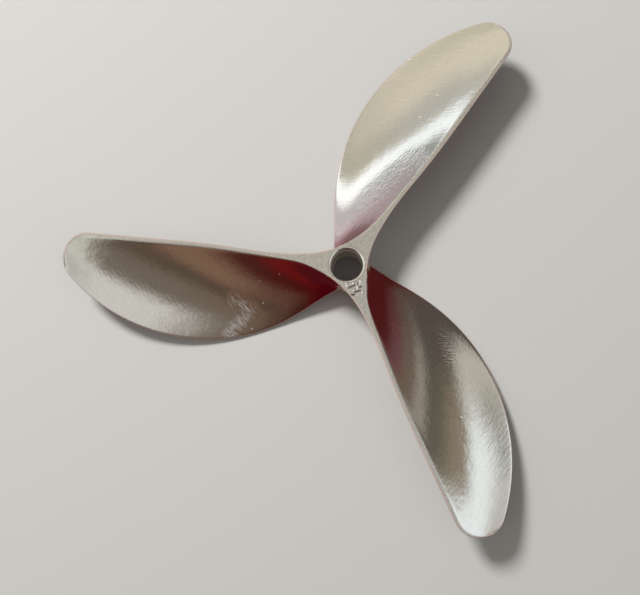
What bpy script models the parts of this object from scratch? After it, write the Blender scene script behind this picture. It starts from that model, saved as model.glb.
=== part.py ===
"""Three-bladed ship propeller, cast in one piece and lying flat with its bore upright.

The bore axis is Z and the origin is on it, halfway up the hub. The hub's flat top face runs out into
three arms, and each arm goes on as the narrow flat lip of a blade's leading edge, so that every leading
edge lies in the top plane. From there the face of the blade winds down, hollow like a spoon, to the
trailing edge near the bottom plane. Each blade turns down anticlockwise as seen from above.

One blade is described in polar form about the bore: at each radius the angles of its leading edge, of
the inner border of its flat lip and of its trailing edge, and the depths of its face and of its back.
"""

import math

import bmesh
import bpy
import numpy as np

# Driving dimensions, in metres and radians
BLADES = 3
SECTOR = 2 * math.pi / BLADES
TIP_RADIUS = 0.120
BORE_RADIUS = 0.00635
HUB_RADIUS = 0.0088
HUB_HEIGHT = 0.0174
MOUTH_ROUND = 0.0010
FOOT_CHAMFER = 0.0005

LEADING_OFFSET = 0.0040
LEADING_HOLLOW = 0.0017
HOLLOW_RADIUS = 0.030
HOLLOW_REACH = 0.0204
LEADING_FILLET = 0.0026
FILLET_REACH = 0.0042

LIP_WIDTH = 0.0014
ARM_WIDTH = 0.0115
ARM_REACH = 0.0074

TRAILING_CENTRE = (0.0644, -0.0387)
TIP_ROUND = 0.0107
ROOT_REACH = 0.0046

PITCH = 0.806 * 2 * TIP_RADIUS
PITCH_REACH = 0.0324
FACE_HOLLOW = 0.60
EDGE_FALL = 0.065
FALL_POWER = 7
LEADING_THICKNESS = 0.0008
TRAILING_THICKNESS = 0.0008
ROOT_THICKNESS = 0.0052
TIP_THICKNESS = 0.0014
HUB_FILLET = 0.0030
HUB_DRAFT = 7.0
WALL_REACH = 0.0006
BORDER_REACH = 0.0015

# How finely the blade is divided, and how far its rows and columns are drawn together
HUB_RINGS = 3
BLADE_ROWS = 34
LIP_COLUMNS = 5
FACE_COLUMNS = 10
ROW_SPREAD = 0.9
FACE_SPREAD = 1.2

# Points closer than the weld are one, and edges shorter than the sliver are dropped
WELD = 1e-6
SLIVER = 1e-7
LEAST_ANGLE = 1e-9
SHARP_ANGLE = math.radians(35)

METAL_COLOUR = (0.62, 0.58, 0.50, 1.0)
METAL_ROUGHNESS = 0.25


def clear_scene():
    for item in list(bpy.data.objects):
        bpy.data.objects.remove(item, do_unlink=True)


def circle_crossing(radius, centre, size):
    """Angle from a circle's centre to the point where it is crossed by the circle of this radius."""
    away = math.hypot(*centre)
    cosine = (radius**2 + away**2 - size**2) / (2 * radius * away)
    return np.arccos(np.clip(cosine, -1.0, 1.0))


def tip_centre():
    """Centre of the round at the tip, which touches the leading edge's line and the tip radius."""
    side = TIP_ROUND - LEADING_OFFSET
    return math.sqrt((TIP_RADIUS - TIP_ROUND) ** 2 - side**2), side


def trailing_radius():
    """Size of the trailing edge's arc, which touches the round at the tip from outside."""
    return math.dist(tip_centre(), TRAILING_CENTRE) + TIP_ROUND


def tip_joins():
    """Radii at which the leading line and the trailing arc run into the round at the tip."""
    x, y = tip_centre()
    scale = TIP_ROUND / (trailing_radius() - TIP_ROUND)
    touch = (x + scale * (x - TRAILING_CENTRE[0]), y + scale * (y - TRAILING_CENTRE[1]))
    return math.hypot(x, LEADING_OFFSET), math.hypot(*touch)


def leading_line(radius):
    """Sideways place of the leading edge: straight, hollow near the root, with a fillet at the hub."""
    hollow = LEADING_HOLLOW * np.exp(-(((radius - HOLLOW_RADIUS) / HOLLOW_REACH) ** 2))
    fillet = LEADING_FILLET * np.exp(-(radius - HUB_RADIUS) / FILLET_REACH)
    return hollow - LEADING_OFFSET - fillet


def leading_angle(radius):
    """The leading edge's line, closed by the round at the tip."""
    centre = tip_centre()
    straight = np.arcsin(np.clip(leading_line(radius) / radius, -1.0, 1.0))
    rounded = math.atan2(centre[1], centre[0]) - circle_crossing(radius, centre, TIP_ROUND)
    return np.where(radius > tip_joins()[0], rounded, straight)


def lip_angle(radius):
    """Where the face of the blade meets the top plane: the inner border of the arm and of the lip."""
    width = LIP_WIDTH + (ARM_WIDTH - LIP_WIDTH) * np.exp(-(radius - HUB_RADIUS) / ARM_REACH)
    return np.arcsin((leading_line(radius) + width) / radius)


def trailing_angle(radius):
    """A large arc, swung on at the root to the next blade's notch and closed by the round at the tip."""
    away = math.atan2(TRAILING_CENTRE[1], TRAILING_CENTRE[0])
    arc = away + circle_crossing(radius, TRAILING_CENTRE, trailing_radius())
    at_hub = away + circle_crossing(HUB_RADIUS, TRAILING_CENTRE, trailing_radius())
    notch = leading_angle(HUB_RADIUS) + SECTOR
    arc = arc + (notch - at_hub) * np.exp(-(radius - HUB_RADIUS) / ROOT_REACH)
    centre = tip_centre()
    rounded = math.atan2(centre[1], centre[0]) + circle_crossing(radius, centre, TIP_ROUND)
    return np.where(radius > tip_joins()[1], rounded, arc)


def star_border(angle):
    """The flat top face's border: a straight line from the arm's inner border to the next notch."""
    arm, notch = float(lip_angle(HUB_RADIUS)), float(leading_angle(HUB_RADIUS)) + SECTOR
    half = (notch - arm) / 2
    turn = np.clip(angle - arm - half, -half, half)
    return np.where(angle > arm, HUB_RADIUS * math.cos(half) / np.cos(turn), HUB_RADIUS)


def trailing_depth(radius):
    """Depth of the trailing edge under the top plane, from a pitch that grows towards the tip."""
    pitch = PITCH * (1 - np.exp(-radius / PITCH_REACH))
    return pitch / (2 * math.pi) * trailing_angle(radius)


def face_depth(radius, angle):
    """Depth of the face: steep at the lip, flatter further on, and falling off at the trailing edge."""
    start = lip_angle(radius)
    across = np.clip((angle - start) / (trailing_angle(radius) - start), 0.0, 1.0)
    curve = across + FACE_HOLLOW * across * (1 - across) + EDGE_FALL * across**FALL_POWER
    away_from_hub = 1 - np.exp(-np.maximum(radius - star_border(angle), 0.0) / WALL_REACH)
    return trailing_depth(radius) * curve / (1 + EDGE_FALL) * away_from_hub


def back_depth(radius, angle):
    """Depth of the back: an arch over the line from edge to edge, which falls off at the trailing edge like
    the face, joined to the hub's wall by a fillet."""
    lead, trail = leading_angle(radius), trailing_angle(radius)
    across = np.clip((angle - lead) / np.maximum(trail - lead, LEAST_ANGLE), 0.0, 1.0)
    first = face_depth(radius, lead) + LEADING_THICKNESS
    last = trailing_depth(radius) + TRAILING_THICKNESS
    slope = trailing_depth(radius) / (radius * (trail - lip_angle(radius)))
    outward = (radius - HUB_RADIUS) / (TIP_RADIUS - HUB_RADIUS)
    thickness = TIP_THICKNESS + (ROOT_THICKNESS - TIP_THICKNESS) * (1 - outward) ** 2
    hollow = FACE_HOLLOW / 4 * trailing_depth(radius) / (1 + EDGE_FALL)
    arch = hollow + thickness * np.hypot(1, slope) - LEADING_THICKNESS
    narrow = np.clip((trail - lead) * radius / (2 * TIP_ROUND), 0.0, 1.0)
    run = (across + EDGE_FALL * across**FALL_POWER) / (1 + EDGE_FALL)
    blade = first + (last - first) * run + arch * narrow * 4 * across * (1 - across)
    wall = HUB_HEIGHT - HUB_DRAFT * (radius - HUB_RADIUS)
    joined = 0.5 * (blade + wall + np.hypot(blade - wall, HUB_FILLET))
    return np.minimum(joined, HUB_HEIGHT)


def row_radii():
    """Radii of the rows outside the hub, close together at the notch and at the tip."""
    step = np.linspace(0, 1, BLADE_ROWS)
    even = 0.5 * (1 - np.cos(math.pi * step**ROW_SPREAD))
    return HUB_RADIUS + (TIP_RADIUS - HUB_RADIUS) * even


def column_angles(radius):
    """Angles of the columns at one radius: across the flat lip, then across the face."""
    lead = float(leading_angle(radius))
    trail = float(trailing_angle(radius))
    border = min(max(float(lip_angle(radius)), lead), trail)
    lip = np.linspace(lead, border, LIP_COLUMNS + 1)
    face = np.linspace(0, 1, FACE_COLUMNS + 1)[1:] ** FACE_SPREAD
    return np.concatenate([lip, border + (trail - border) * face])


def hub_grid():
    """Rings from the bore out to the hub's wall: their radii, angles, upper and lower depths."""
    outer = column_angles(HUB_RADIUS)
    even = outer[0] + np.linspace(0, SECTOR, len(outer))
    turn = np.linspace(0, math.pi / 2, HUB_RINGS + 1)
    rings = [
        (BORE_RADIUS + MOUTH_ROUND * (1 - math.cos(a)), MOUTH_ROUND * (1 - math.sin(a)), a / turn[-1])
        for a in turn
    ]
    rows = []
    for radius, depth, share in rings:
        foot = HUB_HEIGHT - FOOT_CHAMFER * (1 - share)
        rows.append((radius, even, depth + 0 * even, foot + 0 * even))
    rows.append((star_border(outer), outer, 0 * outer, HUB_HEIGHT + 0 * outer))
    return rows


def blade_grid():
    """Rows from the hub's wall to the tip. The first ones follow the top face's border."""
    rows = []
    for row in row_radii()[1:]:
        angles = column_angles(row)
        near_hub = math.exp(-(row - HUB_RADIUS) / BORDER_REACH)
        radius = row - (HUB_RADIUS - star_border(angles)) * near_hub
        rows.append((radius, angles, face_depth(radius, angles), back_depth(radius, angles)))
    return rows


def points_of(rows, turn, side):
    """The grid's points, rows by columns by 3, for the upper (2) or the lower (3) depths."""
    lines = []
    for row in rows:
        radius, angle = row[0], row[1] + turn
        height = HUB_HEIGHT / 2 - row[side]
        lines.append(np.stack([radius * np.cos(angle), radius * np.sin(angle), height], axis=1))
    return np.array(lines)


def sheet_faces(rows, columns, start, flip):
    """Quads of a grid whose first point has the index start."""
    corner = start + np.arange((rows - 1) * columns).reshape(rows - 1, columns)[:, :-1].ravel()
    quads = np.stack([corner, corner + columns, corner + columns + 1, corner + 1], axis=1)
    return quads[:, ::-1] if flip else quads


def wall_faces(upper, lower):
    """Quads between two lines of points, given as lists of indices."""
    return np.stack([upper[:-1], lower[:-1], lower[1:], upper[1:]], axis=1)


def propeller_mesh():
    """The casting as one closed mesh: three sectors, each with a top, a back and its side walls."""
    hub, blade = hub_grid(), blade_grid()
    rows = hub + blade
    count, columns = len(rows), len(rows[0][1])
    size = count * columns
    index = np.arange(size).reshape(count, columns)
    points, faces = [], []
    for number in range(BLADES):
        turn = number * SECTOR
        start = 2 * size * number
        points += [points_of(rows, turn, side).reshape(-1, 3) for side in (2, 3)]
        outline = len(hub) - 1
        lead, trail = start + index[outline:, 0], start + index[outline:, -1]
        bore = start + index[0]
        faces += [
            sheet_faces(count, columns, start, False),
            sheet_faces(count, columns, start + size, True),
            wall_faces(lead, lead + size),
            wall_faces(trail + size, trail),
            wall_faces(bore + size, bore),
        ]
    mesh = bpy.data.meshes.new("propeller")
    mesh.from_pydata(np.concatenate(points).tolist(), [], np.concatenate(faces).tolist())
    return mesh


def tidy_mesh(mesh):
    """Joins the sectors along their common lines, and drops the faces that close up at the tip."""
    work = bmesh.new()
    work.from_mesh(mesh)
    bmesh.ops.remove_doubles(work, verts=work.verts, dist=WELD)
    bmesh.ops.dissolve_degenerate(work, edges=work.edges, dist=SLIVER)
    bmesh.ops.recalc_face_normals(work, faces=work.faces)
    bmesh.ops.triangulate(work, faces=work.faces)
    work.to_mesh(mesh)
    work.free()


def cast_metal():
    material = bpy.data.materials.new("cast_metal")
    material.use_nodes = True
    shader = material.node_tree.nodes["Principled BSDF"]
    shader.inputs["Base Color"].default_value = METAL_COLOUR
    shader.inputs["Roughness"].default_value = METAL_ROUGHNESS
    shader.inputs["Metallic"].default_value = 1.0
    return material


def build_propeller():
    mesh = propeller_mesh()
    tidy_mesh(mesh)
    mesh.shade_smooth()
    mesh.set_sharp_from_angle(angle=SHARP_ANGLE)
    mesh.materials.append(cast_metal())
    propeller = bpy.data.objects.new("propeller", mesh)
    bpy.context.scene.collection.objects.link(propeller)


clear_scene()
build_propeller()
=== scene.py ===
"""Looks of the ship propeller: one bright casting with three hollow blades, lying flat on a pale floor.

The casting is one surface, worked out from the same named sizes as its solid and in the same frame:
metres, the bore axis along Z, the hub's top face half the hub's height up, and blade number 0 along +X.
Here its edges are rounded, its creases softened and its faces given the unevenness of hand finishing.
"""

import math

import bmesh
import bpy
import numpy as np
from mathutils import Matrix, Vector


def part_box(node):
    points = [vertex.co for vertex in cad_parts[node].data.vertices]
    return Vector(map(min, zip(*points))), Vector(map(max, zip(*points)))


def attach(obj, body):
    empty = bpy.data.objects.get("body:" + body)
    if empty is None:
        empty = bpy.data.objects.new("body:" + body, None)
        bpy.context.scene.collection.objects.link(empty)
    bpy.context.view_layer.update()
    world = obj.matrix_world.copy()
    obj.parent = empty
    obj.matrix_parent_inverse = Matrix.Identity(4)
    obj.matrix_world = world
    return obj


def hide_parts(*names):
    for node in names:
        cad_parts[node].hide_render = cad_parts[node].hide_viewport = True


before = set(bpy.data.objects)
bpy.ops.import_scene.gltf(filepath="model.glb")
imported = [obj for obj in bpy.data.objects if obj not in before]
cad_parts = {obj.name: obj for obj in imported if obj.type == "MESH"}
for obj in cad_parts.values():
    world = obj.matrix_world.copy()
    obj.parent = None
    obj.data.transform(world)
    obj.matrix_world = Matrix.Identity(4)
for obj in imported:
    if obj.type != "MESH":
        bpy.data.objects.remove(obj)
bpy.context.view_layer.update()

# The casting's sizes, in metres and radians, as in its solid
BLADES = 3
SECTOR = 2 * math.pi / BLADES
TIP_RADIUS = 0.120
BORE_RADIUS = 0.00635
HUB_RADIUS = 0.0088
HUB_HEIGHT = 0.0174
TOP = HUB_HEIGHT / 2
MOUTH_ROUND = 0.0010
FOOT_CHAMFER = 0.0005

LEADING_OFFSET = 0.0040
LEADING_HOLLOW = 0.0017
HOLLOW_RADIUS = 0.030
HOLLOW_REACH = 0.0204
LEADING_FILLET = 0.0026
FILLET_REACH = 0.0042

LIP_WIDTH = 0.0014
ARM_WIDTH = 0.0115
ARM_REACH = 0.0074

TRAILING_CENTRE = (0.0644, -0.0387)
TIP_ROUND = 0.0107
ROOT_REACH = 0.0046

PITCH = 0.806 * 2 * TIP_RADIUS
PITCH_REACH = 0.0324
FACE_HOLLOW = 0.60
EDGE_FALL = 0.065
FALL_POWER = 7
LEADING_THICKNESS = 0.0008
TRAILING_THICKNESS = 0.0008
ROOT_THICKNESS = 0.0052
TIP_THICKNESS = 0.0014
HUB_FILLET = 0.0030
WALL_REACH = 0.0006
HUB_DRAFT = 7.0

# Finish of the surface, in metres
EDGE_ROUND = 0.00034
LIP_ROUND = 0.00065
CREASE = 0.00050
HUB_FADE = 0.0015

# How finely the casting is divided: its rows and columns, with the powers that set some of them closer,
# the least share of a row that is lip, the steps of the rounds and the bore, the reach at which points
# merge, the length under which an edge goes, the least values that a sum divides by, and the angle from
# which a crease stays sharp
ROWS = 170
ROW_SPREAD = 0.9
LIP_COLUMNS = 8
LIP_SPREAD = 2.0
FACE_COLUMNS = 52
FACE_SPREAD = 1.15
ROUND_STEPS = 4
LEAST_LIP = 0.04
MOUTH_STEPS = 6
RIM_STEPS = 3
BORE_STEPS = 6
WELD = 1e-6
SLIVER = 1e-7
LEAST_ANGLE = 1e-9
LEAST_SPAN = 1e-12
SHARP = math.radians(50)

# The camera, from a fit of the casting's outline: where the bore's centre shows, in pixels from the top
# left corner of the picture, how the casting leans to the camera, and how far off it is
PICTURE = (640, 595)
FOCAL_PIXELS = 700.0
BORE_PIXEL = (346.8, 264.6)
LEAN = (math.radians(-6.30), math.radians(-3.88))
TURN = math.radians(54.34)
CAMERA_DEPTH = 2.372 * TIP_RADIUS
SENSOR = 36.0
CLIP = (0.01, 100.0)


def circle_crossing(radius, centre, size):
    """Angle about the bore between a circle's centre and its point at this radius: the arccosine of the
    radius squared plus the centre's distance squared less the circle's size squared, over twice the radius
    times the distance."""
    away = math.hypot(*centre)
    cosine = (radius**2 + away**2 - size**2) / (2 * radius * away)
    return np.arccos(np.clip(cosine, -1.0, 1.0))


def tip_centre():
    """Centre of the round at the tip, which touches the leading edge's line and the tip radius."""
    side = TIP_ROUND - LEADING_OFFSET
    return math.sqrt((TIP_RADIUS - TIP_ROUND) ** 2 - side**2), side


def trailing_radius():
    """Size of the trailing edge's arc, which touches the round at the tip from outside."""
    return math.dist(tip_centre(), TRAILING_CENTRE) + TIP_ROUND


def tip_joins():
    """Radii at which the leading edge's line and the trailing edge's arc run into the tip round."""
    x, y = tip_centre()
    scale = TIP_ROUND / (trailing_radius() - TIP_ROUND)
    touch = (x + scale * (x - TRAILING_CENTRE[0]), y + scale * (y - TRAILING_CENTRE[1]))
    return math.hypot(x, LEADING_OFFSET), math.hypot(*touch)


def leading_line(radius):
    """Sideways place of the leading edge: minus an offset, plus a bell curve that hollows it near the
    root, minus a fillet at the hub that fades as an exponential."""
    hollow = LEADING_HOLLOW * np.exp(-(((radius - HOLLOW_RADIUS) / HOLLOW_REACH) ** 2))
    fillet = LEADING_FILLET * np.exp(-(radius - HUB_RADIUS) / FILLET_REACH)
    return hollow - LEADING_OFFSET - fillet


def leading_angle(radius):
    """Angle of the leading edge: the arcsine of its sideways place over the radius, then the tip's round,
    whose angle is its centre's less the angle between them."""
    centre = tip_centre()
    straight = np.arcsin(np.clip(leading_line(radius) / radius, -1.0, 1.0))
    rounded = math.atan2(centre[1], centre[0]) - circle_crossing(radius, centre, TIP_ROUND)
    return np.where(radius > tip_joins()[0], rounded, straight)


def lip_angle(radius):
    """Angle of the flat lip's inner border: the leading edge moved in by a width that falls from the
    arm's to the lip's as an exponential."""
    width = LIP_WIDTH + (ARM_WIDTH - LIP_WIDTH) * np.exp(-(radius - HUB_RADIUS) / ARM_REACH)
    return np.arcsin(np.clip((leading_line(radius) + width) / radius, -1.0, 1.0))


def trailing_angle(radius):
    """Angle of the trailing edge: a large arc about the trailing centre, swung on at the root by an
    exponential that meets the next blade's notch, then the tip's round."""
    away = math.atan2(TRAILING_CENTRE[1], TRAILING_CENTRE[0])
    arc = away + circle_crossing(radius, TRAILING_CENTRE, trailing_radius())
    notch = leading_angle(HUB_RADIUS) + SECTOR
    at_hub = away + circle_crossing(HUB_RADIUS, TRAILING_CENTRE, trailing_radius())
    arc = arc + (notch - at_hub) * np.exp(-(radius - HUB_RADIUS) / ROOT_REACH)
    centre = tip_centre()
    rounded = math.atan2(centre[1], centre[0]) + circle_crossing(radius, centre, TIP_ROUND)
    return np.where(radius > tip_joins()[1], rounded, arc)


def star_border(angle):
    """Radius of the flat top face's border about the bore: the hub's radius, and from the arm's border on
    to the next blade's notch the straight line between them, which is its distance over the cosine of the
    angle from its foot."""
    arm, notch = float(lip_angle(HUB_RADIUS)), float(leading_angle(HUB_RADIUS)) + SECTOR
    half = (notch - arm) / 2
    turn = np.clip(angle - arm - half, -half, half)
    return np.where(angle > arm, HUB_RADIUS * math.cos(half) / np.cos(turn), HUB_RADIUS)


def trailing_depth(radius):
    """Depth of the trailing edge: its angle over a whole turn, times a pitch that grows to the tip."""
    pitch = PITCH * (1 - np.exp(-radius / PITCH_REACH))
    return pitch / (2 * math.pi) * trailing_angle(radius)


def face_depth(radius, angle):
    """Depth of the face under the top plane. The share s of the way from the lip's border to the trailing
    edge is softened at 0 to half the sum of s and the root of s squared plus the crease squared. The depth
    goes with s plus a hollow times s times 1 - s plus a fall times a power of s, and it fades out at the
    hub's wall."""
    start = lip_angle(radius)
    width = trailing_angle(radius) - start
    share = (angle - start) / width
    share = np.minimum(0.5 * (share + np.hypot(share, CREASE / (radius * width))), 1.0)
    curve = share + FACE_HOLLOW * share * (1 - share) + EDGE_FALL * share**FALL_POWER
    away_from_hub = 1 - np.exp(-np.maximum(radius - star_border(angle), 0.0) / WALL_REACH)
    return trailing_depth(radius) * curve / (1 + EDGE_FALL) * away_from_hub


def back_depth(radius, angle):
    """Depth of the back: a run from edge to edge that falls off like the face, plus a parabola for the
    blade's thickness, joined to the hub's sloping wall by half the sum of both and the root of their
    difference squared plus a fillet squared, and never below the hub's foot."""
    lead, trail = leading_angle(radius), trailing_angle(radius)
    across = np.clip((angle - lead) / np.maximum(trail - lead, LEAST_ANGLE), 0.0, 1.0)
    first = face_depth(radius, lead) + LEADING_THICKNESS
    last = trailing_depth(radius) + TRAILING_THICKNESS
    slope = trailing_depth(radius) / (radius * (trail - lip_angle(radius)))
    outward = (radius - HUB_RADIUS) / (TIP_RADIUS - HUB_RADIUS)
    thickness = TIP_THICKNESS + (ROOT_THICKNESS - TIP_THICKNESS) * (1 - outward) ** 2
    hollow = FACE_HOLLOW / 4 * trailing_depth(radius) / (1 + EDGE_FALL)
    arch = hollow + thickness * np.hypot(1, slope) - LEADING_THICKNESS
    narrow = np.clip((trail - lead) * radius / (2 * TIP_ROUND), 0.0, 1.0)
    run = (across + EDGE_FALL * across**FALL_POWER) / (1 + EDGE_FALL)
    blade = first + (last - first) * run + arch * narrow * 4 * across * (1 - across)
    wall = HUB_HEIGHT - HUB_DRAFT * (radius - HUB_RADIUS)
    joined = 0.5 * (blade + wall + np.hypot(blade - wall, HUB_FILLET))
    return np.minimum(joined, HUB_HEIGHT)


def polar_points(radius, angle, depth):
    """Points from a radius and an angle about the bore and a depth under the top plane."""
    parts = np.broadcast_arrays(radius * np.cos(angle), radius * np.sin(angle), TOP - depth)
    return np.stack(parts, axis=-1)


def row_radii():
    """Radii of the rows, from a cosine of the row's share that sets them close at the hub and the tip."""
    share = np.linspace(0, 1, ROWS + 1) ** ROW_SPREAD
    return HUB_RADIUS + (TIP_RADIUS - HUB_RADIUS) * 0.5 * (1 - np.cos(math.pi * share))


def turned(points, angle):
    """Points turned about the bore."""
    cosine, sine = math.cos(angle), math.sin(angle)
    x, y = points[..., 0], points[..., 1]
    turned_xy = np.stack([cosine * x - sine * y, sine * x + cosine * y], axis=-1)
    return np.concatenate([turned_xy, points[..., 2:]], axis=-1)


def outline_of_blade():
    """Plan of one blade's outline and its inward normals, as leading and trailing points from hub to tip.
    The outline is walked from the blade before it over the leading edge, the tip and the trailing edge to
    the next blade. A point's normal is square to the sum of the unit steps before and after it."""
    radius = row_radii()
    lead = polar_points(radius, leading_angle(radius), 0)[:, :2]
    trail = polar_points(radius, trailing_angle(radius), 0)[:, :2]
    before, after = turned(trail[1:2], -SECTOR), turned(lead[1:2], SECTOR)
    walk = np.concatenate([before, lead, trail[-2::-1], after])
    step = np.diff(walk, axis=0)
    step /= np.linalg.norm(step, axis=1, keepdims=True)
    along = step[:-1] + step[1:]
    along /= np.linalg.norm(along, axis=1, keepdims=True)
    inward = np.stack([-along[:, 1], along[:, 0]], axis=1)
    return lead, trail, inward[: ROWS + 1], inward[: ROWS - 1 : -1]


def polar(plan):
    """Radius and angle of plan points."""
    return np.hypot(plan[:, 0], plan[:, 1]), np.arctan2(plan[:, 1], plan[:, 0])


def column_shares(first, border, last):
    """Shares of the columns across a row, closer near the lip's border on both sides of it."""
    lip = 1 - np.linspace(1, 0, LIP_COLUMNS + 1)[:-1] ** LIP_SPREAD
    face = np.linspace(0, 1, FACE_COLUMNS + 1) ** FACE_SPREAD
    split = ((border - first) / (last - first))[:, None]
    return np.concatenate([split * lip, split + (1 - split) * face], axis=1)


def rounded_edge(plan, inset, depth_of, drop):
    """Points that round an edge: a quadratic Bezier curve from the surface at the inset points, by way of
    the sharp edge, to the side wall a little up or down from it."""
    radius, angle = polar(plan)
    inner_radius, inner_angle = polar(inset)
    edge = depth_of(radius, angle)
    start = polar_points(inner_radius, inner_angle, depth_of(inner_radius, inner_angle))[:, None]
    corner = polar_points(radius, angle, edge)[:, None]
    end = polar_points(radius, angle, edge + drop)[:, None]
    way = np.linspace(0, 1, ROUND_STEPS + 1)[None, :, None]
    return (1 - way) ** 2 * start + 2 * way * (1 - way) * corner + way**2 * end


def blade_sections():
    """Closed sections round the blade, one for each radius: the face from lip to trailing edge, the
    rounded trailing edge, the back and the rounded leading edge. Also each point's zones."""
    lead, trail, lead_in, trail_in = outline_of_blade()
    lead_inset, trail_inset = lead + LIP_ROUND * lead_in, trail + EDGE_ROUND * trail_in
    trail_inset[-1] = lead_inset[-1]
    lead_radius, lead_angle = polar(lead_inset)
    trail_radius, trail_angle = polar(trail_inset)
    least = LEAST_LIP * (trail_angle - lead_angle)
    border = np.clip(lip_angle(lead_radius), lead_angle + least, trail_angle - least)
    border[-1] = lead_angle[-1]
    span = np.maximum(trail_angle - lead_angle, LEAST_SPAN)
    share = column_shares(lead_angle, border, lead_angle + span)
    radius = lead_radius[:, None] + (trail_radius - lead_radius)[:, None] * share
    angle = lead_angle[:, None] + (trail_angle - lead_angle)[:, None] * share
    near_hub = np.exp(-(lead_radius - lead_radius[0]) / HUB_FADE)[:, None]
    radius = radius - (HUB_RADIUS - star_border(angle)) * near_hub
    face = polar_points(radius, angle, face_depth(radius, angle))
    back = polar_points(radius, angle, back_depth(radius, angle))[:, ::-1]
    trailing = np.concatenate(
        [
            rounded_edge(trail, trail_inset, face_depth, EDGE_ROUND),
            rounded_edge(trail, trail_inset, back_depth, -EDGE_ROUND)[:, ::-1],
        ],
        axis=1,
    )
    leading = np.concatenate(
        [
            rounded_edge(lead, lead_inset, back_depth, -EDGE_ROUND),
            rounded_edge(lead, lead_inset, face_depth, EDGE_ROUND)[:, ::-1],
        ],
        axis=1,
    )
    points = np.concatenate([face, trailing[:, 1:-1], back, leading[:, 1:-1]], axis=1)
    columns = face.shape[1]
    edges = trailing.shape[1] - 2
    zones = np.zeros_like(points)
    zones[:, :columns, 0] = np.clip((border[:, None] - angle) * radius / CREASE, 0.0, 1.0)
    zones[:, columns : columns + edges, 1] = 1
    zones[:, 2 * columns + edges :, 1] = 1
    zones[:, columns + edges : 2 * columns + edges, 2] = 1
    return points, zones, columns


def hub_rings(upper, lower):
    """Rings round the bore that join the first row of the face to that of the back: over the top face and
    the mouth's quarter round, down the bore's wall, over the foot's chamfer and out again."""
    outer_radius, outer_angle = polar(upper[:, :2])
    even = np.linspace(outer_angle[0], outer_angle[0] + SECTOR, len(upper))
    turn = np.linspace(math.pi / 2, 0, MOUTH_STEPS + 1)
    mouth_radius = BORE_RADIUS + MOUTH_ROUND * (1 - np.cos(turn))
    mouth = np.stack([mouth_radius, MOUTH_ROUND * (1 - np.sin(turn))], axis=1)
    wall = np.linspace(MOUTH_ROUND, HUB_HEIGHT - FOOT_CHAMFER, BORE_STEPS + 1)[1:]
    wall = np.stack([BORE_RADIUS + 0 * wall, wall], axis=1)
    foot = np.array([[BORE_RADIUS + FOOT_CHAMFER, HUB_HEIGHT]])
    profile = np.concatenate([mouth, wall, foot])
    rings = polar_points(profile[:, :1], even[None], profile[:, 1:])
    way = np.linspace(0, 1, RIM_STEPS + 1)[1:-1, None]
    top_radius = outer_radius + (profile[0, 0] - outer_radius) * way
    top = polar_points(top_radius, outer_angle + (even - outer_angle) * way, 0.0)
    bottom_radius = foot[0, 0] + (np.hypot(*lower[:, :2].T) - foot[0, 0]) * way
    bottom = polar_points(bottom_radius, even + (outer_angle - even) * way, HUB_HEIGHT)
    return np.concatenate([upper[None], top, rings, bottom, lower[None]])


def grid_quads(rows, columns, start, closed):
    """Quads of a grid of points whose first has the index start. In a closed grid the last column meets
    the first."""
    index = start + np.arange(rows * columns).reshape(rows, columns)
    if closed:
        index = np.concatenate([index, index[:, :1]], axis=1)
    corners = [index[:-1, :-1], index[1:, :-1], index[1:, 1:], index[:-1, 1:]]
    return np.stack([corner.ravel() for corner in corners], axis=1)


def casting_arrays():
    """Points, quads, places in the blade's own frame and zones of the whole casting."""
    section, zones, columns = blade_sections()
    upper = section[0, :columns]
    edges = (section.shape[1] - 2 * columns) // 2
    lower = section[0, columns + edges : 2 * columns + edges][::-1]
    hub = hub_rings(upper, lower)
    hub_zones = np.zeros_like(hub)
    hub_zones[: RIM_STEPS + 1, :, 0] = 1
    hub_zones[RIM_STEPS + 1 :, :, 2] = 1
    points, quads, places, kinds = [], [], [], []
    count = 0
    for number in range(BLADES):
        for grid, zone, closed in ((section, zones, True), (hub, hub_zones, False)):
            rows, width = grid.shape[:2]
            faces = grid_quads(rows, width, count, closed)
            quads.append(faces if closed else faces[:, ::-1])
            points.append(turned(grid, number * SECTOR).reshape(-1, 3))
            places.append((grid + (0, 0, number * TIP_RADIUS)).reshape(-1, 3))
            kinds.append(zone.reshape(-1, 3))
            count += rows * width
    return [np.concatenate(part) for part in (points, quads, places, kinds)]


def add_attribute(mesh, name, values):
    """Gives each point of the mesh a vector."""
    attribute = mesh.attributes.new(name, "FLOAT_VECTOR", "POINT")
    attribute.data.foreach_set("vector", values.astype(np.float32).ravel())


def make_casting(finish):
    """The whole casting as one closed mesh with its faces outward, smooth but for its sharp creases."""
    points, quads, places, kinds = casting_arrays()
    mesh = bpy.data.meshes.new("propeller_casting")
    mesh.from_pydata(points.tolist(), [], quads.tolist())
    add_attribute(mesh, "place", places)
    add_attribute(mesh, "zones", kinds)
    work = bmesh.new()
    work.from_mesh(mesh)
    bmesh.ops.remove_doubles(work, verts=work.verts, dist=WELD)
    bmesh.ops.dissolve_degenerate(work, edges=work.edges, dist=SLIVER)
    bmesh.ops.recalc_face_normals(work, faces=work.faces)
    work.to_mesh(mesh)
    work.free()
    mesh.shade_smooth()
    mesh.set_sharp_from_angle(angle=SHARP)
    mesh.materials.append(finish)
    casting = bpy.data.objects.new("propeller_casting", mesh)
    bpy.context.scene.collection.objects.link(casting)
    return casting


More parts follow.
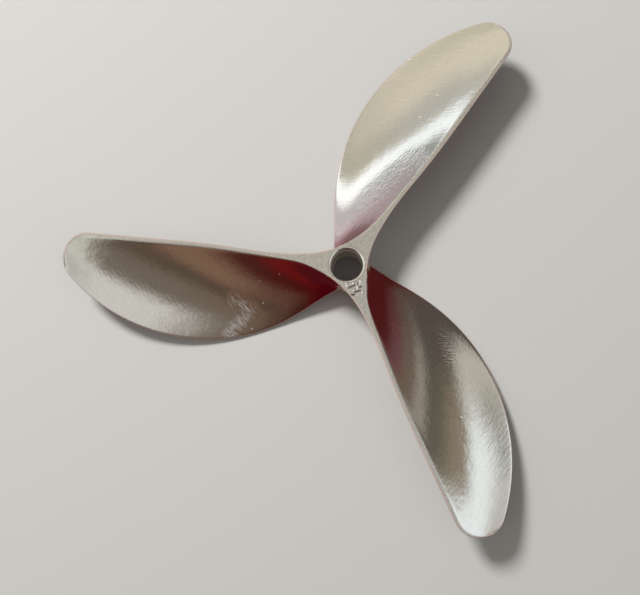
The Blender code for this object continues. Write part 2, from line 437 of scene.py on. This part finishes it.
class Socket:
    """A socket of a node tree, so that shader maths on values is written as Python expressions."""

    def __init__(self, nodes, socket):
        self.nodes, self.socket = nodes, socket

    def math(self, operation, *others, turned_round=False):
        """The node's result for this socket and the others, with their order turned round if asked."""
        values = (self, *others)[:: -1 if turned_round else 1]
        return self.nodes.add("ShaderNodeMath", {"operation": operation}, dict(enumerate(values)))

    def __add__(self, other):
        return self.math("ADD", other)

    def __sub__(self, other):
        return self.math("SUBTRACT", other)

    def __rsub__(self, other):
        return self.math("SUBTRACT", other, turned_round=True)

    def __mul__(self, other):
        return self.math("MULTIPLY", other)

    def __truediv__(self, other):
        return self.math("DIVIDE", other)

    __radd__, __rmul__ = __add__, __mul__


class Nodes:
    """The nodes of one material or world."""

    def __init__(self, tree):
        self.tree = tree
        tree.nodes.clear()

    def add(self, kind, settings=(), inputs=(), output=0):
        """Adds a node of this type, makes its settings, then gives its sockets their values or links."""
        node = self.tree.nodes.new(kind)
        for name, value in dict(settings).items():
            setattr(node, name, value)
        for name, value in dict(inputs).items():
            if isinstance(value, Socket):
                self.tree.links.new(value.socket, node.inputs[name])
            else:
                node.inputs[name].default_value = value
        return Socket(self, node.outputs[output]) if node.outputs else None

    def vector(self, operation, *values, output=0, **named):
        """Vector maths on values; a scale is given by its name."""
        inputs = dict(enumerate(values)) | {name.title(): value for name, value in named.items()}
        return self.add("ShaderNodeVectorMath", {"operation": operation}, inputs, output)

    def parts(self, vector):
        """The three values of a vector."""
        first = self.add("ShaderNodeSeparateXYZ", {}, {"Vector": vector})
        outputs = first.socket.node.outputs
        return [Socket(self, output) for output in outputs]

    def ramp(self, value, low, high):
        """0 below low, 1 above high, and smooth in between."""
        settings = {"interpolation_type": "SMOOTHSTEP"}
        inputs = {"Value": value, "From Min": low, "From Max": high}
        return self.add("ShaderNodeMapRange", settings, inputs)

    def blend(self, share, first, second):
        """Colours mixed by a share from 0, the first, to 1, the second. In the mixing node, input 0 is
        the share, inputs 6 and 7 are the colours and output 2 is their mix."""
        settings = {"data_type": "RGBA", "clamp_factor": True}
        inputs = {0: share, 6: opaque(first), 7: opaque(second)}
        return self.add("ShaderNodeMix", settings, inputs, output=2)


def opaque(colour):
    """A colour with its alpha, or a socket as it is."""
    return colour if isinstance(colour, Socket) else (*colour, 1.0)


def picture_heading(azimuth, elevation):
    """Direction in the casting's frame from an azimuth, anticlockwise from the picture's right, and an
    elevation over the floor, both in degrees."""
    turn, rise = math.radians(azimuth) - TURN, math.radians(elevation)
    return Vector((math.cos(turn) * math.cos(rise), math.sin(turn) * math.cos(rise), math.sin(rise)))


# Colours and roughness of the metal's finishes: the ground face, the flat lip, the edges, the back, a
# painted red reflection on the face near the root, the bore's mouth, painted shade down the bore's wall,
# painted shade in the punch strokes and painted glints on the burrs beside them
FACE_METAL = (0.80, 0.78, 0.74)
LIP_METAL = (0.665, 0.640, 0.595)
EDGE_METAL = (0.64, 0.50, 0.465)
BACK_METAL = (0.64, 0.59, 0.52)
# Painted red reflection: a reddish tint on the face near each blade's root that stands in for red
# surroundings mirrored there
ROOT_PAINTED_REFLECTION = (0.80, 0.56, 0.50)
MOUTH_METAL = (0.82, 0.80, 0.75)
# Painted shade: the bore's wall darkens to this near-black red with depth
BORE_PAINTED_SHADE = (0.08, 0.035, 0.026)
# Painted shade: dark colour in the bottoms of the punch strokes
STROKE_PAINTED_SHADE = (0.22, 0.20, 0.17)
# Painted glint: near-white colour on the raised burrs beside the strokes
BURR_PAINTED_GLINT = (1.0, 0.99, 0.95)
FACE_ROUGHNESS = 0.10
LIP_ROUGHNESS = 0.42
EDGE_ROUGHNESS = 0.42
BACK_ROUGHNESS = 0.36
MOUTH_ROUGHNESS = 0.30
EDGE_DULLNESS = 0.6

# Depth at which the painted shade on the bore's wall is darkest, the share of the mouth's round inside
# which its finish is full, and the shares of the other finishes between which that of the face ends
BORE_FADE = 0.0068
MOUTH_FULL = 0.8
FACE_END = (0.2, 0.8)

# Share of the painted red reflection at the root on each blade, and the distances from the bore between
# which it fades
ROOT_REFLECTION_SHARES = (0.3, 0.9, 0.7)
ROOT_FROM, ROOT_TO = 0.014, 0.040

# Marks of the finishing: the directions of the grinding lines, cross ripples, streaks and scratches on a
# blade, the length, width and height of each kind of mark, and how much some shade or dull the metal
GRIND_TURN = math.radians(-57)
CROSS_TURN = math.radians(62)
STREAK_TURN = math.radians(-8)
SCRATCH_TURN = math.radians(-48)
FINE_LINES = (0.0060, 0.00035, 0.0000040)
RIPPLES = (0.0028, 0.00080, 0.0000085)
SPECKLE = (0.0015, 0.00065, 0.0000055)
CROSS_RIPPLES = (0.0032, 0.00075, 0.0000280)
STREAKS = (0.0026, 0.00080, 0.0001000)
SCRATCHES = (0.0030, 0.00045, 0.0001300)
GRAIN = (0.00060, 0.00060, 0.0000220)
DENTS = (0.0080, 0.0080, 0.0000300)
HEIGHT_UNIT = 0.00001
NOISE_DETAIL = 2.0
STREAK_DETAIL = 4.0
LINE_SHADE, RIPPLE_SHADE, SPECKLE_SHADE, GRAIN_SHADE = 0.16, 0.03, 0.14, 0.18
RIPPLE_DULLNESS = 0.02

# Worn places in a blade's own frame: the blade's number, the corners of a path and the reach about it
SCRATCHED = (1, ((0.0463, 0.0176), (0.0398, 0.0211), (0.0480, 0.0318)), 0.0062)
RIPPLED = (2, ((0.0361, 0.0270), (0.0383, 0.0240), (0.0530, 0.0224)), 0.0048)
STREAKED = (0, ((0.0140, 0.0060), (0.0320, 0.0060), (0.0520, 0.0020)), 0.0100)

# Plain punch strokes on one blade's arm, in two short rows, with painted shade in their bottoms, the
# raised burrs beside them, painted bright as glints, and small nicks as blade number and place
STROKE_BLADE = 2
STROKES = (
    ((0.0091, -0.0031), (0.0092, -0.0006)),
    ((0.0088, 0.0010), (0.0093, 0.0008)),
    ((0.0107, 0.0010), (0.0109, 0.0016)),
    ((0.0118, -0.0018), (0.0121, 0.0006)),
    ((0.0121, -0.0034), (0.0126, -0.0024)),
)
# Raised burrs, painted bright as glints
BURRS_AND_GLINTS = (
    ((0.0069, -0.0033), (0.0083, -0.0036)),
    ((0.0078, -0.0007), (0.0084, -0.0008)),
    ((0.0083, 0.0022), (0.0094, 0.0014)),
    ((0.0101, 0.0002), (0.0110, 0.0000)),
    ((0.0106, -0.0016), (0.0110, -0.0015)),
    ((0.0129, 0.0013), (0.0133, 0.0013)),
)
STROKE_HALF_WIDTH = 0.00060
STROKE_NARROWING = 2.0
STROKE_DEPTH = 0.00022
STROKE_ROUGHNESS = 0.20
NICKS = (
    (0, (0.0817, 0.0116)),
    (0, (0.0700, 0.0121)),
    (0, (0.0703, 0.0083)),
    (1, (0.0363, 0.0086)),
    (1, (0.0279, 0.0056)),
    (1, (0.0345, 0.0175)),
    (1, (0.0386, 0.0286)),
    (2, (0.0752, 0.0161)),
)
NICK_REACH = 0.00068
NICK_DEPTH = 0.00008
NICK_ROUGHNESS = 0.40


def most(shares):
    """The largest of several shares."""
    largest = 0.0
    for share in shares:
        largest = share.math("MAXIMUM", largest)
    return largest


class MetalNodes(Nodes):
    """The nodes of the metal, with the places and zones on the casting and its marks and unevenness."""

    def __init__(self, tree):
        super().__init__(tree)
        self.solid = self.add("ShaderNodeTexCoord", output="Object")
        self.place = self.add("ShaderNodeAttribute", {"attribute_name": "place"}, output="Vector")
        along, aside, raised = self.parts(self.place)
        self.blade = (raised / TIP_RADIUS).math("ROUND")
        plan = {"X": along, "Y": aside, "Z": self.blade * TIP_RADIUS}
        self.plan = self.add("ShaderNodeCombineXYZ", {}, plan)
        zones = self.add("ShaderNodeAttribute", {"attribute_name": "zones"}, output="Vector")
        self.lip, self.edge, self.under = self.parts(zones)
        self.face = 1 - self.ramp(self.lip + self.edge + self.under, *FACE_END)
        from_axis = self.vector("MULTIPLY", self.solid, (1, 1, 0))
        self.axis_distance = self.vector("LENGTH", from_axis, output="Value")
        mouth_full = BORE_RADIUS + MOUTH_FULL * MOUTH_ROUND
        self.in_mouth = self.ramp(self.axis_distance, BORE_RADIUS + MOUTH_ROUND, mouth_full)
        self.stroke, self.burr_and_glint = self.marks(STROKES), self.marks(BURRS_AND_GLINTS)
        nicks = [self.distance(number, spot, spot) for number, spot in NICKS]
        self.nick = self.face * most(self.ramp(away, NICK_REACH, 0.0) for away in nicks)
        self.ripples = self.relief(self.place, RIPPLES, GRIND_TURN)
        self.lines = self.relief(self.place, FINE_LINES, GRIND_TURN)
        self.speckle = self.relief(self.place, SPECKLE, GRIND_TURN)
        self.grain = self.relief(self.solid, GRAIN)

    def relief(self, source, size, turn=0.0, detail=NOISE_DETAIL):
        """Noise drawn out along a direction on the blade, about 0, in units of height."""
        inputs = {"Vector": source, "Rotation": (0, 0, turn), "Scale": (size[0], size[1], size[0])}
        drawn = self.add("ShaderNodeMapping", {"vector_type": "TEXTURE"}, inputs)
        noise = self.add("ShaderNodeTexNoise", {}, {"Vector": drawn, "Scale": 1.0, "Detail": detail})
        return (noise - 0.5) * (2 * size[2] / HEIGHT_UNIT)

    def distance(self, number, start, end):
        """Distance on one blade's plan from the straight line between two places: the place less the
        start, less the line times the dot product of both over the line's length squared, kept from 0
        to 1."""
        span = Vector((end[0] - start[0], end[1] - start[1], 0))
        offset = self.vector("SUBTRACT", self.plan, (*start, number * TIP_RADIUS))
        if span.length > 0:
            share = self.vector("DOT_PRODUCT", offset, span, output="Value") * (1 / span.length_squared)
            share = self.add("ShaderNodeClamp", {}, {"Value": share})
            offset = self.vector("SUBTRACT", offset, self.vector("SCALE", span, scale=share))
        return self.vector("LENGTH", offset, output="Value")

    def worn(self, number, path, reach):
        """1 near a path on a blade's plan, fading to 0 at its reach."""
        away = [self.distance(number, *ends) for ends in zip(path, path[1:])]
        return most(self.ramp(share, reach, 0.0) for share in away)

    def marks(self, lines):
        """1 along some lines on the marked arm's flat face, fading to 0 at half a stroke's width."""
        away = [self.distance(STROKE_BLADE, *ends) for ends in lines]
        return self.lip * most(self.ramp(share, STROKE_HALF_WIDTH, 0.0) for share in away)


def metal_colour(metal):
    """The colours of the finishes, one over the other, with a painted red reflection at the roots, painted
    shade down the bore and in the strokes and painted glints on the burrs, shaded by the finest marks.
    """
    reflection_share = ROOT_REFLECTION_SHARES[0]
    for number, (before, here) in enumerate(zip(ROOT_REFLECTION_SHARES, ROOT_REFLECTION_SHARES[1:])):
        reflection_share = reflection_share + (here - before) * metal.blade.math("GREATER_THAN", number + 0.5)
    root = metal.ramp(metal.axis_distance, ROOT_TO, ROOT_FROM) * metal.face
    rise = metal.parts(metal.solid)[2]
    painted_bore_shade = metal.ramp(rise, TOP - MOUTH_ROUND, TOP - BORE_FADE) * metal.in_mouth
    # Painted red reflection at the blade roots, strongest on blades 1 and 2
    colour = metal.blend(root * reflection_share, FACE_METAL, ROOT_PAINTED_REFLECTION)
    colour = metal.blend(metal.lip, colour, LIP_METAL)
    colour = metal.blend(metal.under, colour, BACK_METAL)
    colour = metal.blend(metal.edge, colour, EDGE_METAL)
    colour = metal.blend(metal.in_mouth, colour, MOUTH_METAL)
    # Painted shade, darker down the bore's wall
    colour = metal.blend(painted_bore_shade, colour, BORE_PAINTED_SHADE)
    # Painted glints on the raised burrs
    colour = metal.blend(metal.burr_and_glint, colour, BURR_PAINTED_GLINT)
    # Painted shade in the bottoms of the punch strokes
    colour = metal.blend(metal.stroke.math("POWER", STROKE_NARROWING), colour, STROKE_PAINTED_SHADE)
    shade = metal.lines * LINE_SHADE + metal.ripples * RIPPLE_SHADE + metal.speckle * SPECKLE_SHADE
    shade = 1 + shade * metal.face + metal.grain * GRAIN_SHADE * metal.lip
    return metal.vector("SCALE", colour, scale=shade)


def metal_roughness(metal):
    """The roughness of the finishes, with the strokes and nicks in them."""
    roughness = FACE_ROUGHNESS + (LIP_ROUGHNESS - FACE_ROUGHNESS) * metal.lip
    roughness = roughness + (BACK_ROUGHNESS - FACE_ROUGHNESS) * metal.under
    roughness = roughness + (EDGE_ROUGHNESS - FACE_ROUGHNESS) * metal.edge
    roughness = roughness * (1 - metal.in_mouth) + MOUTH_ROUGHNESS * metal.in_mouth
    roughness = roughness + metal.ripples * RIPPLE_DULLNESS
    roughness = roughness * (1 - metal.stroke) + STROKE_ROUGHNESS * metal.stroke
    return roughness + NICK_ROUGHNESS * metal.nick


def metal_bump(metal):
    """The unevenness of the hand finishing, with the worn places, nicks, strokes and burrs."""
    height = metal.lines + metal.ripples + metal.speckle + metal.relief(metal.solid, DENTS)
    height = height + metal.relief(metal.place, SCRATCHES, SCRATCH_TURN) * metal.worn(*SCRATCHED)
    height = height + metal.relief(metal.place, CROSS_RIPPLES, CROSS_TURN) * metal.worn(*RIPPLED)
    streaks = metal.relief(metal.place, STREAKS, STREAK_TURN, STREAK_DETAIL)
    height = height + streaks * metal.worn(*STREAKED)
    height = height * metal.face - metal.nick * (NICK_DEPTH / HEIGHT_UNIT)
    height = height + metal.grain * (1 - metal.face) * (1 - metal.in_mouth)
    height = height + (metal.burr_and_glint - metal.stroke) * (STROKE_DEPTH / HEIGHT_UNIT)
    inputs = {"Height": height, "Strength": 1.0, "Distance": HEIGHT_UNIT}
    return metal.add("ShaderNodeBump", {}, inputs)


def cast_metal():
    """Bright cast metal: ground across each blade, streaked, with a painted red reflection at its root,
    grained on the flat face, with a few punch strokes holding painted shade, burrs with painted glints,
    nicks, worn places and painted shade down the bore."""
    material = bpy.data.materials.new("cast_metal")
    material.use_nodes = True
    metal = MetalNodes(material.node_tree)
    inputs = {
        "Base Color": metal_colour(metal),
        "Metallic": 1 - metal.edge * EDGE_DULLNESS,
        "Roughness": metal_roughness(metal),
        "Normal": metal_bump(metal),
    }
    shader = metal.add("ShaderNodeBsdfPrincipled", {}, inputs)
    metal.add("ShaderNodeOutputMaterial", {}, {"Surface": shader})
    return material


# Tones of the soft light round the casting. Each side has its azimuth, the degrees from it up to which it
# is full and beyond which it ends, its lowest tone, and the later tones with the two elevations in
# degrees between which each takes over. The light all round has only tones.
ALL_ROUND = (
    (0.400, 0.370, 0.330),
    (22, 44, (0.640, 0.640, 0.580)),
    (64, 74, (0.530, 0.520, 0.490)),
    (78, 84, (0.750, 0.750, 0.730)),
)
LEFT = (
    (180, 20, 30, (0.420, 0.380, 0.360)),
    (-16, -6, (1.150, 1.140, 1.080)),
    (64, 76, (0.750, 0.750, 0.730)),
)
FAR_RIGHT = (
    (338, 33, 43, (0.360, 0.330, 0.300)),
    (-16, -6, (0.660, 0.700, 0.660)),
    (45, 48, (0.950, 1.010, 1.040)),
    (56, 66, (0.700, 0.740, 0.750)),
)
LOWER = (
    (258, 30, 36, (0.081, 0.008, 0.013)),
    (4, 14, (0.143, 0.011, 0.010)),
    (17, 25, (0.075, 0.016, 0.013)),
    (27, 41, (0.232, 0.138, 0.092)),
    (43, 49, (0.098, 0.068, 0.051)),
    (49, 55, (0.185, 0.150, 0.121)),
    (61.5, 68.5, (0.700, 0.695, 0.670)),
)
LOWER_RIGHT = (
    (286, 14, 34, (0.066, 0.002, 0.005)),
    (20, 27, (0.078, 0.006, 0.006)),
    (28, 36, (0.060, 0.018, 0.014)),
    (38, 47, (0.096, 0.050, 0.038)),
    (47, 57, (0.175, 0.115, 0.080)),
    (57, 63, (0.205, 0.170, 0.140)),
    (64, 70, (0.290, 0.245, 0.212)),
)
RIGHT = (
    (31, 18, 23.5, (0.081, 0.0125, 0.0135)),
    (8, 18, (0.160, 0.072, 0.075)),
    (18, 24, (0.168, 0.123, 0.097)),
    (27, 31, (0.330, 0.300, 0.260)),
    (33, 36, (0.124, 0.116, 0.092)),
    (39, 46, (0.270, 0.220, 0.162)),
    (49, 55, (0.950, 1.010, 1.030)),
    (58, 70, (0.580, 0.575, 0.545)),
)
UPPER_RIGHT = (
    (62, 24, 36, (0.074, 0.014, 0.014)),
    (16, 26, (0.105, 0.072, 0.064)),
    (26, 34, (0.098, 0.081, 0.069)),
    (46, 52, (0.560, 0.540, 0.480)),
    (54, 60, (0.370, 0.360, 0.315)),
    (60, 64, (0.200, 0.190, 0.165)),
    (65, 69, (0.620, 0.580, 0.570)),
)
UPPER_LEFT = (
    (130, 34, 48, (0.250, 0.160, 0.172)),
    (-14, -4, (0.470, 0.380, 0.395)),
    (10, 16, (0.370, 0.370, 0.360)),
    (24, 28, (1.180, 1.260, 1.290)),
    (30.2, 35.5, (0.550, 0.538, 0.490)),
    (41, 49, (0.755, 0.692, 0.572)),
    (54, 64, (0.630, 0.590, 0.470)),
)
MORE_LEFT = (
    (151, 13, 21, (0.410, 0.245, 0.285)),
    (-18, -4, (0.530, 0.430, 0.470)),
    (-2, 6, (0.700, 0.640, 0.690)),
    (10, 17, (0.600, 0.605, 0.630)),
    (23, 29, (1.300, 1.340, 1.360)),
    (33, 39, (0.545, 0.515, 0.430)),
    (43, 52, (0.660, 0.610, 0.505)),
)
UPPER = (
    (106, 5, 15, (0.250, 0.160, 0.172)),
    (-14, -4, (0.470, 0.380, 0.395)),
    (10, 16, (0.395, 0.395, 0.385)),
    (23, 28, (1.180, 1.260, 1.290)),
    (31, 35, (0.535, 0.518, 0.460)),
    (36, 42, (0.780, 0.720, 0.590)),
    (54, 64, (0.630, 0.590, 0.470)),
)
SIDES = (LEFT, FAR_RIGHT, LOWER, LOWER_RIGHT, RIGHT, UPPER_RIGHT, UPPER_LEFT, UPPER, MORE_LEFT)
ZENITH = (0.72, 0.72, 0.70)
ZENITH_FROM = (83, 88)
UNDER = (0.17, 0.15, 0.12)
UNDER_FROM = (-64, -54)
DIFFUSE_SHARE = 0.45
BACKDROP = (0.66, 0.66, 0.65)

# The lamp's azimuth, elevation, distance, size, power and colour, and the floor
LAMP_PLACE = (128, 42)
LAMP_DISTANCE = 1.6
LAMP_SIZE = 0.4
LAMP_POWER = 24.0
LAMP_COLOUR = (1.0, 0.98, 0.95)
FLOOR_HALF = 4.0
FLOOR_COLOUR = (0.70, 0.70, 0.69)
FLOOR_ROUGHNESS = 0.8


def studio_surround():
    """Soft light from all round: a pale ceiling over a paler surround, windows to the left, the upper
    left and the right, warm dark walls below and to the right, and a plain backdrop for the camera."""
    world = bpy.data.worlds.new("studio")
    bpy.context.scene.world = world
    world.use_nodes = True
    nodes = Nodes(world.node_tree)
    heading = nodes.add("ShaderNodeTexCoord", {}, output="Generated")
    rise = nodes.parts(heading)[2]
    level = nodes.vector("NORMALIZE", nodes.vector("MULTIPLY", heading, (1, 1, 0)))

    def above(low, high):
        """0 below one elevation and 1 above another."""
        return nodes.ramp(rise, math.sin(math.radians(low)), math.sin(math.radians(high)))

    def side(azimuth, inner, outer):
        """1 within inner degrees of an azimuth and 0 beyond outer degrees."""
        dot = nodes.vector("DOT_PRODUCT", level, picture_heading(azimuth, 0), output="Value")
        return nodes.ramp(dot, math.cos(math.radians(outer)), math.cos(math.radians(inner)))

    def tones(lowest, *later):
        """The lowest tone and, over it, each later one from its low to its high elevation."""
        tone = lowest
        for low, high, colour in later:
            tone = nodes.blend(above(low, high), tone, colour)
        return tone

    light = tones(*ALL_ROUND)
    for where, *later in SIDES:
        azimuth, inner, outer, lowest = where
        light = nodes.blend(side(azimuth, inner, outer), light, tones(lowest, *later))
    light = nodes.blend(above(*ZENITH_FROM), light, ZENITH)
    light = nodes.blend(above(*UNDER_FROM), UNDER, light)
    seen = nodes.add("ShaderNodeLightPath", {}, output="Is Camera Ray")
    diffuse = nodes.add("ShaderNodeLightPath", {}, output="Is Diffuse Ray")
    strength = 1 - diffuse * (1 - DIFFUSE_SHARE)
    light = nodes.blend(seen, light, BACKDROP)
    background = nodes.add("ShaderNodeBackground", {}, {"Color": light, "Strength": strength})
    nodes.add("ShaderNodeOutputWorld", {}, {"Surface": background})


def make_camera():
    """The camera, from where the bore's centre shows, the casting's lean and turn and its distance."""
    lean = Matrix.Rotation(LEAN[0], 3, "X") @ Matrix.Rotation(LEAN[1], 3, "Y")
    to_camera = lean @ Matrix.Rotation(TURN, 3, "Z")
    across, down = (pixel - size / 2 for pixel, size in zip(BORE_PIXEL, PICTURE))
    from_bore = Vector((-across / FOCAL_PIXELS, down / FOCAL_PIXELS, 1)) * CAMERA_DEPTH
    to_casting = to_camera.transposed()
    data = bpy.data.cameras.new("camera")
    data.sensor_width = SENSOR
    data.lens = FOCAL_PIXELS * SENSOR / PICTURE[0]
    data.clip_start, data.clip_end = CLIP
    camera = bpy.data.objects.new("camera", data)
    place = to_casting @ from_bore + Vector((0, 0, TOP))
    camera.matrix_world = Matrix.Translation(place) @ to_casting.to_4x4()
    bpy.context.scene.collection.objects.link(camera)
    bpy.context.scene.camera = camera


def make_lamp():
    """A round lamp at the upper left window, for the shadow on the floor. The metal doesn't mirror it."""
    data = bpy.data.lights.new("window_light", "AREA")
    data.shape, data.size, data.energy, data.color = "DISK", LAMP_SIZE, LAMP_POWER, LAMP_COLOUR
    lamp = bpy.data.objects.new("window_light", data)
    heading = picture_heading(*LAMP_PLACE)
    lamp.location = heading * LAMP_DISTANCE
    lamp.rotation_mode = "QUATERNION"
    lamp.rotation_quaternion = heading.to_track_quat("Z", "Y")
    lamp.visible_camera = False
    lamp.visible_glossy = False
    bpy.context.scene.collection.objects.link(lamp)


def make_floor():
    """A plain pale floor at the foot of the casting."""
    half, level = FLOOR_HALF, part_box("propeller")[0].z
    corners = [(-half, -half, level), (half, -half, level), (half, half, level), (-half, half, level)]
    mesh = bpy.data.meshes.new("floor")
    mesh.from_pydata(corners, [], [(0, 1, 2, 3)])
    material = bpy.data.materials.new("pale_floor")
    material.use_nodes = True
    shader = material.node_tree.nodes["Principled BSDF"]
    shader.inputs["Base Color"].default_value = opaque(FLOOR_COLOUR)
    shader.inputs["Roughness"].default_value = FLOOR_ROUGHNESS
    mesh.materials.append(material)
    floor = bpy.data.objects.new("floor", mesh)
    floor.visible_glossy = False
    bpy.context.scene.collection.objects.link(floor)


bpy.context.scene.view_settings.view_transform = "Standard"
make_camera()
casting = make_casting(cast_metal())
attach(casting, "root")
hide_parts("propeller")
studio_surround()
make_floor()
make_lamp()
